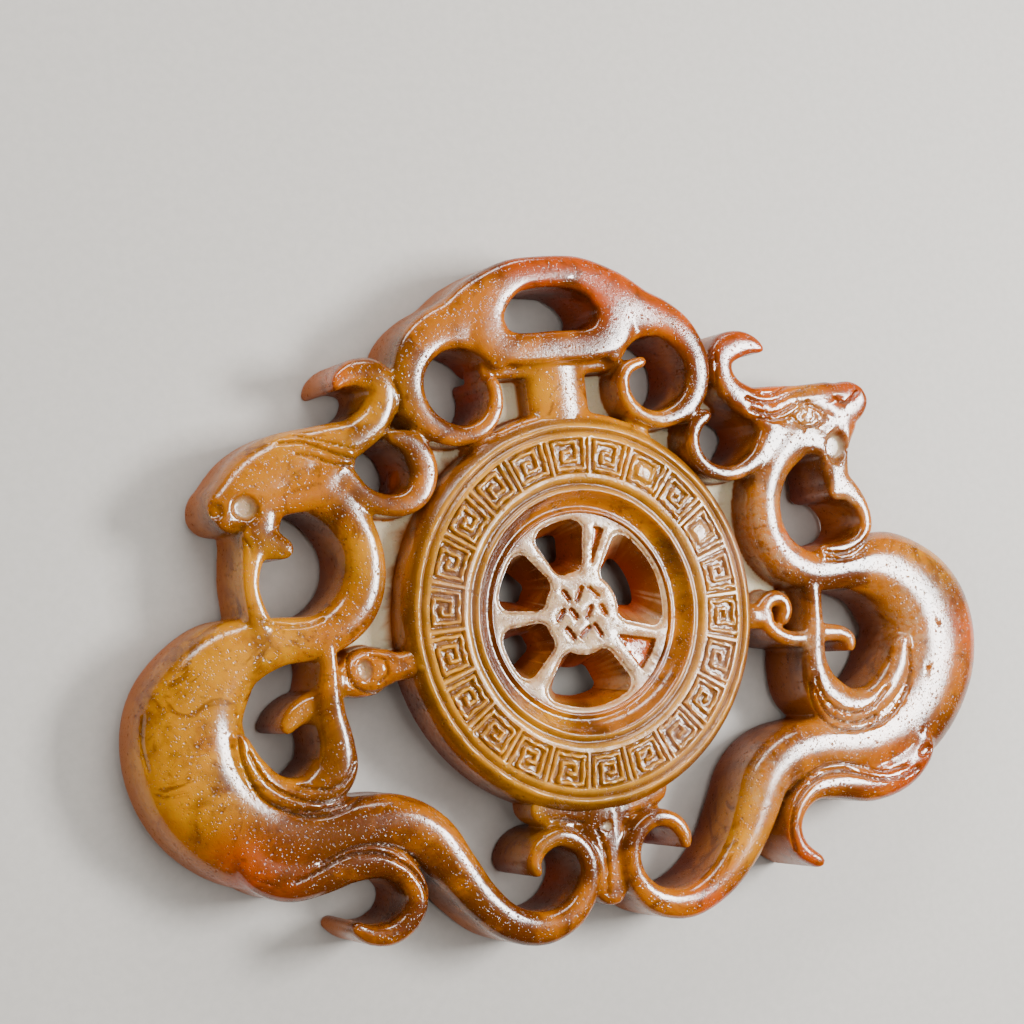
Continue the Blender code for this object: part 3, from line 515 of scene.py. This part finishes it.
def fieldDepth(xy):
    # two sunk three-sided fields on the wide bars: depth from the least of three edge gaps
    total = np.zeros(len(xy))
    for angle, wide in disc["fields"]:
        a = math.radians(angle)
        out, side = xy @ (math.cos(a), math.sin(a)), xy @ (-math.sin(a), math.cos(a))
        gap = np.minimum(10.7 - np.hypot(out, side), wide * (out - 5.2) - np.abs(side))
        inside = np.clip(gap / 0.3, 0, 1)
        total = np.maximum(total, 0.6 * inside * inside * (3 - 2 * inside))
    return total


def strokeDepth(xy):
    # three rows of short slanted cuts that spell nothing: depth times (1 - (gap / half width)^2)
    total = np.zeros(len(xy))
    pick = np.random.default_rng(23)
    for row, (places, y) in enumerate(disc["strokeRows"]):
        for column in range(places):
            x = (column - (places - 1) / 2) * disc["strokeGap"] + pick.uniform(-0.15, 0.15)
            lean = math.radians(pick.uniform(35, 75) * (1 if (row + column) % 2 else -1))
            span = pick.uniform(0.55, 0.8)
            dx, dy = span * math.cos(lean), span * math.sin(lean)
            gap = fromStroke(xy, np.array([(x - dx, y - dy), (x + dx, y + dy)]))
            cut = np.clip(1 - (gap / disc["strokeHalf"]) ** 2, 0, 1)
            total = np.maximum(total, disc["strokeDepth"] * cut)
    return total


def panelSurface(cells):
    # a square grid drawn in to a disc, top and bottom alike:
    # x' = x sqrt(1 - y^2 / 2), y' = y sqrt(1 - x^2 / 2)
    u, v = np.meshgrid(np.linspace(-1, 1, cells + 1), np.linspace(-1, 1, cells + 1), indexing="ij")
    radius = disc["panel"] + 0.35
    x, y = radius * u * np.sqrt(1 - v * v / 2), radius * v * np.sqrt(1 - u * u / 2)
    xy = np.stack([x.ravel(), y.ravel()], 1)
    worn = np.clip(1 - slotGap(xy) / 0.4, 0, 1) ** 2
    top = plaque["thick"] - disc["recess"] - strokeDepth(xy) - fieldDepth(xy) - 0.22 * worn
    top += 0.09 * waves(np.c_[xy, 0 * x.ravel()], (3, 6, 11), 5)
    low = np.full(len(xy), plaque["thick"] - disc["recess"] - disc["panelThick"])
    return np.stack([np.c_[xy, top], np.c_[xy, low]])


def panelFaces(cells):
    # quads of the two sheets and of the wall that joins their edges
    n = cells + 1
    i, j = np.meshgrid(np.arange(cells), np.arange(cells), indexing="ij")
    quads = np.stack([i * n + j, (i + 1) * n + j, (i + 1) * n + j + 1, i * n + j + 1], -1).reshape(-1, 4)
    lower = quads[:, ::-1] + n * n
    side = np.arange(cells)
    rim = np.concatenate([side * n, cells * n + side, (cells - side) * n + cells, cells - side])
    following = np.roll(rim, -1)
    wall = np.stack([rim, following, following + n * n, rim + n * n], 1)
    return np.vstack([quads, lower, wall]).tolist()


def slotCutter(start, end):
    # the slot's outline, a rounded rectangle bent round the centre and drawn in evenly towards the back
    middle, half = (disc["boss"] + disc["slotOut"]) / 2, (disc["slotOut"] - disc["boss"]) / 2
    corner, reach = disc["slotCorner"], math.radians(end - start) / 2 * middle
    turn = np.linspace(0, np.pi / 2, 9)
    corners = [(reach - corner, half - corner, 0), (corner - reach, half - corner, 1),
               (corner - reach, corner - half, 2), (reach - corner, corner - half, 3)]
    quarters = [(u, v, turn + k * np.pi / 2) for u, v, k in corners]
    outline = np.vstack([np.c_[u + corner * np.cos(a), v + corner * np.sin(a)] for u, v, a in quarters])
    outline = alongPath([(u, v, 0) for u, v in np.vstack([outline, outline[:1]])], 0.3)[:-1, :2]
    n = len(outline)
    share = np.repeat([disc["slotBack"], 1, 1], n)
    z = np.repeat([disc["slotFloor"], thick - 0.9 * disc["recess"], disc["slotTop"]], n)
    u, v = np.tile(outline, (3, 1)).T * share
    angle, away = math.radians(start + end) / 2 + u / middle, middle + v
    points = np.c_[away * np.cos(angle), away * np.sin(angle), z]
    k = np.arange(n)
    sides = np.stack([k, (k + 1) % n, (k + 1) % n + n, k + n], 1)
    faces = np.vstack([sides, sides + n]).tolist()
    faces += [list(range(n))[::-1], list(range(2 * n, 3 * n))]
    return points, faces


def joined(target, other, operation):
    # one closed form out of two
    cut = target.modifiers.new(operation.lower(), "BOOLEAN")
    cut.operation = operation
    cut.solver = "MANIFOLD"
    cut.object = other
    bpy.context.view_layer.update()
    applied(target)
    bpy.data.objects.remove(other)


grid = discSurface()
ring = newObject("fretRing", grid, ringFaces(*grid.shape[:2]))
facingOut(ring)
print("fret ring:", len(ring.data.polygons), "faces")
panel = newObject("slottedPanel", panelSurface(130), panelFaces(130))
facingOut(panel)
for start, end in disc["slots"]:
    cutter = newObject("slotCutter", *slotCutter(start, end))
    facingOut(cutter)
    joined(panel, cutter, "DIFFERENCE")
print("panel cut:", len(panel.data.polygons), "faces")
joined(ring, panel, "UNION")
joined(jade, ring, "UNION")
count = sum(len(p.vertices) - 2 for p in jade.data.polygons)
thin = jade.modifiers.new("fewer", "DECIMATE")
thin.ratio = min(1, plaque["triangles"] / count)
applied(jade)
print("one form:", count, "triangles made", len(jade.data.polygons))

# What each place of the carving is, kept with the mesh for the material to read; walls are painted into shade
# from wallFrom to wallTo millimetres below the front.
# The pits are (x, y, half length, half height) and the colour patches (x, y, radius); paintedGlow is a
# painted glow and milkAndSheen partly a painted sheen.
marksAndPaintedLight = dict(wallFrom=0.8, wallTo=7.5, pitGround=0.45,
              pits=[(38.8, 16.8, 1.5, 1.7), (-41.6, 16.5, 1.5, 1.4), (21.2, 23.7, 0.8, 0.7),
                    (-29.7, -3.1, 1, 1.3), (-1.3, -25.4, 0.8, 0.6)],
              gold=[(-50, -3, 13), (-43, 8, 6), (-42, 2, 5), (-2.6, 26.6, 4), (17, -29, 5), (52, 2, 5),
                    (9, 19, 5), (-14, -22, 6), (18, -26, 3), (-52, -12, 6), (34, 23.6, 4), (-38, 24, 5),
                    (-27, 27, 6), (-28, 10, 4), (14, 0, 4), (-8, -12, 4), (10, 10, 3)],
              rust=[(0, 42, 7), (8, 40, 5), (17, 36, 5), (27, 31, 4), (30, 25, 4), (41, 23, 4.5),
                    (57, -10, 5), (43, -27, 5), (26, -34, 4), (-30, 31, 4), (-47, -24, 5), (-56, 3, 3),
                    (30, 6, 3), (12, -37, 4)],
              # paintedGlow: spots of painted glow, as of light shining through the thin stone, shown on the
              # walls inside the openings
              paintedGlow=[(-12, 28, 5), (15, 29, 5), (37, 6, 4), (30, 5, 4), (-23, 19, 4), (24, 19, 4),
                    (5, 37, 4), (-9, -31, 3), (5, -28, 3), (-36, -5, 3.5), (2, 0, 10)],
              # milkAndSheen: a pale milky tone on broad lit faces, partly the stone's own milky white and
              # partly a painted sheen
              milkAndSheen=[(27, 9, 5), (26, 4, 4), (19, 6, 5), (17, -8, 4), (10, -16, 3.5), (-17, 4, 3),
                    (21, -24, 4), (31, -7, 3), (40, 10, 3), (38, 19, 4), (35, -18, 4), (47, -8, 7)])


def patches(xy, spots):
    # soft round patches: exp(-(distance / radius)^2), added and held at 1
    total = np.zeros(len(xy))
    for x, y, radius in spots:
        total += np.exp(-((xy[:, 0] - x) ** 2 + (xy[:, 1] - y) ** 2) / radius ** 2)
    return np.minimum(total, 1)


def smooth(low, high, value):
    # 0 below low, 1 above high, and 3 t^2 - 2 t^3 between
    t = np.clip((value - low) / (high - low), 0, 1)
    return t * t * (3 - 2 * t)


def keep(mesh, name, values):
    # one value for each point, stored by name
    mesh.attributes.new(name, "FLOAT", "POINT").data.foreach_set("value", values.astype(np.float32))


points, normals = getPoints(jade.data), getNormals(jade.data)
seen = seenAt(points)
drop = plaque["thick"] - points[:, 2]
r, a = np.hypot(points[:, 0], points[:, 1]), np.arctan2(points[:, 1], points[:, 0])
onFront = smooth(0.1, 0.5, normals[:, 2])
onFret = smooth(14.4, 14.8, r) * (1 - smooth(23.2, 23.8, r)) * (1 - smooth(1.6, 2.4, drop))
height = np.clip(1 - (drop - 0.12) / 0.42, 0, 1)
lines = engraved(seen) * onFront * (1 - onFret)
sunk = smooth(3.6, 4.2, drop) * (1 - smooth(5.4, 5.8, drop)) * smooth(0.75, 0.92, normals[:, 2])
pit = np.zeros(len(points))
for x, y, rx, ry in marksAndPaintedLight["pits"]:
    pit = np.maximum(pit, 1 - smooth(0.3, 1, ((seen[:, 0] - x) / rx) ** 2 + ((seen[:, 1] - y) / ry) ** 2))
keep(jade.data, "ground", np.maximum(sunk * smooth(23.4, 24.2, r), marksAndPaintedLight["pitGround"] * pit * onFront))
keep(jade.data, "fret", onFret * onFront)
# crest: the tops of the frets, which the material paints cream and olive as a painted highlight
keep(jade.data, "crest", height * onFret)
keep(jade.data, "line", np.clip(lines * 2.4, 0, 1))
# painted shade: walls turn darker from wallFrom to wallTo millimetres below the front
deep = smooth(marksAndPaintedLight["wallFrom"], marksAndPaintedLight["wallTo"], drop)
keep(jade.data, "wall", deep * (1 - smooth(0.75, 0.95, normals[:, 2])))
# inside is 1 for walls in the openings, where the outline's radius in that direction is over 4 mm more
sectors = 120
sector = ((a + math.pi) * sectors / (2 * math.pi)).astype(int) % sectors
reach = np.zeros(sectors)
np.maximum.at(reach, sector, r)
outline = np.minimum(np.minimum(reach, np.roll(reach, 1)), np.roll(reach, -1))
keep(jade.data, "inside", smooth(1.5, 4, outline[sector] - r))
# the panel's raised faces, which the material paints pale as a painted sheen, and its sunk cuts apart
onPanel = (1 - smooth(11.9, 12.3, r)) * smooth(0.8, 0.95, normals[:, 2])
sunkPanel = smooth(0.12, 0.3, np.maximum(fieldDepth(points[:, :2]), strokeDepth(points[:, :2])))
keep(jade.data, "panel", onPanel * (1 - sunkPanel))
keep(jade.data, "sunk", onPanel * sunkPanel)
for name in ("gold", "rust", "milkAndSheen", "paintedGlow"):
    keep(jade.data, name, patches(seen, marksAndPaintedLight[name]))

points[:, :2] += plaque["centre"]
setPoints(jade.data, points * mm)
jade.data.shade_smooth()
jade.data.set_sharp_from_angle(angle=math.radians(50))
print("carving placed:", np.round(points.min(0), 2), np.round(points.max(0), 2))


class Wire:
    # one socket of a material; Python's signs become Math nodes
    def __init__(self, nodes, socket):
        self.nodes, self.socket = nodes, socket

    def maths(self, kind, *others, clamp=False):
        values = dict(enumerate((self,) + others))
        return self.nodes.add("Math", dict(operation=kind, use_clamp=clamp), values).out()

    def __add__(self, other):
        return self.maths("ADD", other)

    def __radd__(self, other):
        return self.maths("ADD", other)

    def __rsub__(self, other):
        return (self * -1).maths("ADD", other)

    def __mul__(self, other):
        return self.maths("MULTIPLY", other)

    def __rmul__(self, other):
        return self.maths("MULTIPLY", other)

    def held(self):
        return self.maths("ADD", 0.0, clamp=True)

    def ramp(self, low, high):
        # 0 below low, 1 above high, smooth between
        return self.nodes.add("MapRange", dict(interpolation_type="SMOOTHSTEP"),
                              {0: self, 1: low, 2: high, 3: 0.0, 4: 1.0}).out()


class Made:
    # one node just added, read by the name or number of its output
    def __init__(self, nodes, node):
        self.nodes, self.node = nodes, node

    def out(self, which=0):
        return Wire(self.nodes, self.node.outputs[which])


class Nodes:
    # a material's tree: every node comes from add(type, settings, values or links)
    def __init__(self, name):
        self.material = bpy.data.materials.new(name)
        self.material.use_nodes = True
        self.tree = self.material.node_tree
        self.tree.nodes.clear()

    def add(self, kind, settings, values):
        node = self.tree.nodes.new("ShaderNode" + kind)
        for name, value in settings.items():
            setattr(node, name, value)
        for which, value in values.items():
            if isinstance(value, Wire):
                self.tree.links.new(value.socket, node.inputs[which])
            else:
                node.inputs[which].default_value = value
        return Made(self, node)

    def mixed(self, share, first, second):
        return self.add("Mix", dict(data_type="RGBA"), {0: share, 6: first, 7: second}).out(2)

    def noise(self, place, scale, detail=3.0, rough=0.55, warp=0.0):
        values = {"Vector": place, "Scale": scale, "Detail": detail, "Roughness": rough, "Distortion": warp}
        return self.add("TexNoise", {}, values).out("Fac")

    def cells(self, place, scale):
        # distance to the nearest of scattered points
        values = {"Vector": place, "Scale": scale, "Randomness": 1.0}
        return self.add("TexVoronoi", dict(feature="F1"), values).out("Distance")

    def kept(self, name):
        return self.add("Attribute", dict(attribute_name=name), {}).out("Fac")


# Colours of the stone: wall and outside are painted shade on the walls, paintedGlow a painted glow, cream and
# olive a painted highlight on the fret crests, violet a painted sheen, milkAndSheen partly a painted sheen,
# and pale a painted sheen on the panel's raised faces
jadeLook = dict(honey=(0.3, 0.086, 0.0006, 1), deep=(0.08, 0.018, 0.0006, 1),
                golden=(0.46, 0.185, 0.0006, 1), rust=(0.38, 0.052, 0.0008, 1),
                milkAndSheen=(0.34, 0.2, 0.1, 1), wall=(0.1, 0.01, 0.0004, 1), paintedGlow=(0.34, 0.034, 0.0005, 1),
                outside=(0.3, 0.065, 0.0005, 1), cream=(0.56, 0.26, 0.02, 1),
                groove=(0.12, 0.038, 0.0008, 1), olive=(0.36, 0.17, 0.012, 1),
                violet=(0.26, 0.15, 0.12, 1), ground=(0.46, 0.4, 0.26, 1), pale=(0.5, 0.33, 0.18, 1),
                dirt=(0.035, 0.012, 0.002, 1))


def honeyJade():
    # colours are laid over each other in turn: body, patches (milkAndSheen partly a painted sheen), walls
    # (painted shade, with a painted glow in the openings), frets (crests painted as highlight, a painted
    # sheen on some), panel (raised faces painted pale as a sheen), lines, pits, ground
    n = Nodes("honeyJade")
    metres = n.add("TexCoord", {}, {}).out("Object")
    place = n.add("VectorMath", dict(operation="SCALE"), {0: metres, "Scale": 1000.0}).out()
    ground, fret, crest, line, wall = (n.kept(k) for k in ("ground", "fret", "crest", "line", "wall"))
    inside, paintedGlow = n.kept("inside"), n.kept("paintedGlow")
    panelTop, sunkIn, gold, rust, milkAndSheen = (n.kept(k) for k in ("panel", "sunk", "gold", "rust", "milkAndSheen"))
    clouds = n.noise(place, 0.075, 5.0, 0.6, 0.6)
    patch = n.noise(place, 0.22, 4.0, 0.6, 0.4)
    veins = n.noise(place, 0.16, 6.0, 0.65, 2.2)
    fleck = n.noise(place, 1.1, 4.0, 0.7)
    grain = n.noise(place, 3.4, 3.0, 0.75)
    pits = n.cells(place, 1.1)
    smallPits = n.cells(place, 2.7)
    worn = n.noise(place, 0.3, 3.0, 0.6).ramp(0.34, 0.54)
    pitted = ((1 - pits.ramp(0.1, 0.22)) * worn + 0.6 * (1 - smallPits.ramp(0.12, 0.3)) * worn).held()

    colour = n.mixed(clouds.ramp(0.42, 0.6), jadeLook["deep"], jadeLook["honey"])
    colour = n.mixed((gold * 0.85 * patch.ramp(0.25, 0.6)).held(), colour, jadeLook["golden"])
    colour = n.mixed((rust * 0.8 * patch.ramp(0.2, 0.6)).held(), colour, jadeLook["rust"])
    colour = n.mixed((0.7 * veins.ramp(0.52, 0.66)).held(), colour, jadeLook["deep"])
    colour = n.mixed((0.5 * fleck.ramp(0.58, 0.74) * worn).held(), colour, jadeLook["dirt"])
    # partly a painted sheen: a pale milky tone laid on the broad lit faces, partly the stone's own milky
    # white
    colour = n.mixed((milkAndSheen * 0.7 * fleck.ramp(0.35, 0.7)).held(), colour, jadeLook["milkAndSheen"])
    # painted shade and painted glow on the walls: dark wall colour inside the openings with painted glow
    # spots, the outside colour on outer walls, laid more strongly the deeper a wall lies
    hollow = n.mixed((paintedGlow * (0.6 + 0.6 * patch)).held(), jadeLook["wall"], jadeLook["paintedGlow"])
    walls = n.mixed((inside * (0.7 + 0.5 * patch)).held(), jadeLook["outside"], hollow)
    colour = n.mixed((wall * 0.85).held(), colour, walls)
    # painted highlight: the fret crests painted cream and olive, while the grooves keep a darker brown
    paintedCrestHighlight = n.mixed(patch.ramp(0.38, 0.6), jadeLook["olive"], jadeLook["cream"])
    fretColour = n.mixed((crest * (0.4 + 0.8 * fleck)).held(), jadeLook["groove"], paintedCrestHighlight)
    # painted sheen: violet-grey on the frets where the gloss falls
    fretColour = n.mixed((milkAndSheen * 0.5 * patch.ramp(0.3, 0.6)).held(), fretColour, jadeLook["violet"])
    fretColour = n.mixed((gold * 0.4 * patch.ramp(0.3, 0.6)).held(), fretColour, jadeLook["golden"])
    colour = n.mixed((fret * 0.85).held(), colour, fretColour)
    # painted sheen: the panel's raised faces painted pale
    colour = n.mixed((panelTop * (0.35 + 0.5 * fleck.ramp(0.3, 0.6))).held(), colour, jadeLook["pale"])
    colour = n.mixed((sunkIn * 0.7).held(), colour, jadeLook["rust"])
    colour = n.mixed((line * 0.6 * grain.ramp(0.2, 0.6)).held(), colour, jadeLook["dirt"])
    colour = n.mixed((0.45 * pitted).held(), colour, jadeLook["dirt"])
    colour = n.mixed((ground * (0.75 + 0.3 * grain)).held(), colour, jadeLook["ground"])

    height = pitted * -1.2 + grain * 0.12 + fleck * 0.25
    bump = n.add("Bump", {}, {"Strength": 0.4, "Distance": 0.0002, "Height": height}).out()
    rough = (0.13 + 0.08 * fleck + 0.35 * ground + 0.03 * fret + 0.1 * line + 0.45 * pitted).held()

    skin = n.add("BsdfPrincipled", {}, {"Base Color": colour, "Roughness": rough, "Normal": bump, "IOR": 1.75,
                                        "Subsurface Weight": 0.3, "Subsurface Radius": (1.0, 0.25, 0.03),
                                        "Subsurface Scale": 0.003})
    dull = n.add("BsdfPrincipled", {}, {"Base Color": colour, "Roughness": rough + 0.2, "Normal": bump,
                                        "IOR": 1.25})
    dullness = (wall * 1.3 + ground * 0.6 + 0.35 * fret).held()
    both = n.add("MixShader", {}, {0: dullness, 1: skin.out("BSDF"), 2: dull.out("BSDF")})
    n.add("OutputMaterial", {}, {"Surface": both.out("Shader")})
    return n.material


jade.data.materials.clear()
jade.data.materials.append(honeyJade())
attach(jade, "root")
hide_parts("jade_carving")
print("jade finished")

# A plain pale table. One window on the right and one beyond give the gloss; the wide soft lamps only fill.
studio = dict(table=(0.44, 0.425, 0.4, 1), sky=(0.95, 0.97, 1.0, 1), skyPower=0.012,
              lights=[("window", (0.21, 0.005, 0.25), (0.12, 0.085), 2.3, (1, 0.985, 0.97), True),
                      ("farWindow", (-0.02, 0.36, 0.2), (0.4, 0.06), 1.5, (1, 0.97, 0.94), True),
                      ("overhead", (0.05, 0.05, 0.5), (0.4, 0.4), 2.4, (1, 0.98, 0.95), False),
                      ("leftFill", (-0.4, -0.05, 0.35), (0.25, 0.25), 1.1, (1, 0.96, 0.92), False)])


def softLight(name, place, size, power, colour, shines):
    # a rectangular lamp aimed at the origin; one that does not shine is left out of the gloss
    data = bpy.data.lights.new(name, "AREA")
    data.shape = "RECTANGLE"
    data.size, data.size_y = size
    data.energy = power
    data.color = colour
    light = bpy.data.objects.new(name, data)
    bpy.context.scene.collection.objects.link(light)
    light.location = place
    light.rotation_euler = (-Vector(place)).to_track_quat("-Z", "Y").to_euler()
    light.visible_glossy = shines


for values in studio["lights"]:
    softLight(*values)
world = bpy.data.worlds.new("studio")
world.use_nodes = True
world.node_tree.nodes["Background"].inputs["Color"].default_value = studio["sky"]
world.node_tree.nodes["Background"].inputs["Strength"].default_value = studio["skyPower"]
bpy.context.scene.world = world


def tableTop():
    # a pale matt table, mottled by a fine noise
    n = Nodes("tableTop")
    place = n.add("TexCoord", {}, {}).out("Object")
    cloth = n.noise(place, 900.0, 3.0)
    shaded = tuple(0.95 * c for c in studio["table"][:3]) + (1,)
    colour = n.mixed(cloth.ramp(0.3, 0.7), studio["table"], shaded)
    skin = n.add("BsdfPrincipled", {}, {"Base Color": colour, "Roughness": 0.75 + 0.1 * cloth})
    n.add("OutputMaterial", {}, {"Surface": skin.out("BSDF")})
    return n.material


table = newObject("table", np.array([(-3, -3, 0), (3, -3, 0), (3, 3, 0), (-3, 3, 0)], float), [(0, 1, 2, 3)])
table.data.materials.append(tableTop())
print("table and lights set")
